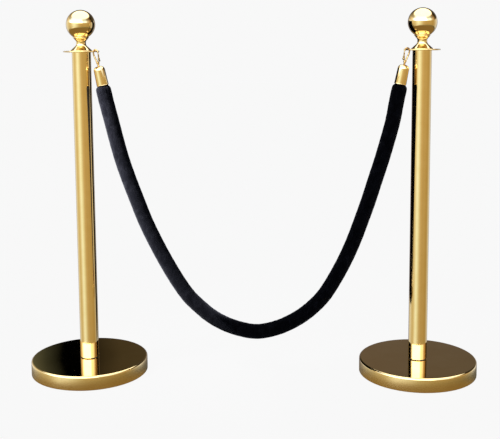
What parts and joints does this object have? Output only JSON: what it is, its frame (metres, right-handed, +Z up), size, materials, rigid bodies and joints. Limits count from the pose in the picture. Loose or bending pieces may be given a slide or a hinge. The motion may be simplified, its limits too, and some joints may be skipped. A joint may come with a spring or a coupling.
{
  "type": "rope stanchion pair",
  "caption": "Ball-top crowd-control posts in polished brass on round weighted bases, joined by a hanging black velvet rope with brass end caps and snap hooks.",
  "frame": {"origin": "on the floor, midway between the two posts' axes", "axes": "+X from the left post to the right post, -Y the side that the rope's hooks are on, +Z up"},
  "size_m": [1.231, 0.32, 0.9983],
  "materials": {
    "polished_brass": "mirror-polished brass",
    "spun_brass": "spun brass: mirror top, fine turned satin on the side",
    "cast_brass": "cast and tumbled brass",
    "cast_iron": "grey painted casting",
    "black_rubber": "matt moulded rubber",
    "zinc_steel": "zinc-plated steel",
    "velvet": "black short-pile velvet"
  },
  "bodies": {
    "posts": {"left_base_weight": "cast_iron", "left_base_cover": "spun_brass", "left_floor_ring": "black_rubber", "left_base_bolt": "zinc_steel", "left_base_washer": "zinc_steel", "left_lock_washer": "zinc_steel", "left_foot_gasket": "black_rubber", "left_foot_plug": "zinc_steel", "left_tube": "polished_brass", "left_top_plug": "zinc_steel", "left_rope_plate": "polished_brass", "left_finial_stud": "zinc_steel", "left_neck": "polished_brass", "left_ball": "polished_brass", "left_ball_insert": "zinc_steel", "right_base_weight": "cast_iron", "right_base_cover": "spun_brass", "right_floor_ring": "black_rubber", "right_base_bolt": "zinc_steel", "right_base_washer": "zinc_steel", "right_lock_washer": "zinc_steel", "right_foot_gasket": "black_rubber", "right_foot_plug": "zinc_steel", "right_tube": "polished_brass", "right_top_plug": "zinc_steel", "right_rope_plate": "polished_brass", "right_finial_stud": "zinc_steel", "right_neck": "polished_brass", "right_ball": "polished_brass", "right_ball_insert": "zinc_steel"},
    "rope": {"rope": "velvet", "left_end_cap": "polished_brass", "left_cap_rivet": "cast_brass", "left_stem_washer": "zinc_steel", "right_end_cap": "polished_brass", "right_cap_rivet": "cast_brass", "right_stem_washer": "zinc_steel"},
    "left_hook": {"left_swivel_stem": "cast_brass", "left_hook_body": "cast_brass", "left_gate_pin": "zinc_steel", "left_gate_spring": "zinc_steel"},
    "left_gate": {"left_hook_gate": "cast_brass"},
    "right_hook": {"right_swivel_stem": "cast_brass", "right_hook_body": "cast_brass", "right_gate_pin": "zinc_steel", "right_gate_spring": "zinc_steel"},
    "right_gate": {"right_hook_gate": "cast_brass"}
  },
  "joints": [
    {"name": "rope_swing", "type": "hinge", "parent": "posts", "child": "rope", "pos_m": [0, -0.02, 0.8902], "axis": [1, 0, 0], "range_deg": [-12, 12]},
    {"name": "left_hook_swivel", "type": "hinge", "parent": "rope", "child": "left_hook", "pos_m": [-0.41408, -0.02, 0.8902], "axis": [-0.1908, 0, 0.9816], "range_deg": [-8, 8]},
    {"name": "left_gate_hinge", "type": "hinge", "parent": "left_hook", "child": "left_gate", "pos_m": [-0.40414, -0.02226, 0.86361], "axis": [-0.4268, -0.9005, -0.083], "range_deg": [0, 25], "stiffness_Nm_per_rad": 0.02, "springref_deg": -17.19},
    {"name": "right_hook_swivel", "type": "hinge", "parent": "rope", "child": "right_hook", "pos_m": [0.41408, -0.02, 0.8902], "axis": [0.1908, 0, 0.9816], "range_deg": [-8, 8]},
    {"name": "right_gate_hinge", "type": "hinge", "parent": "right_hook", "child": "right_gate", "pos_m": [0.40414, -0.02226, 0.86361], "axis": [-0.4268, 0.9005, 0.083], "range_deg": [0, 25], "stiffness_Nm_per_rad": 0.02, "springref_deg": -17.19}
  ]
}
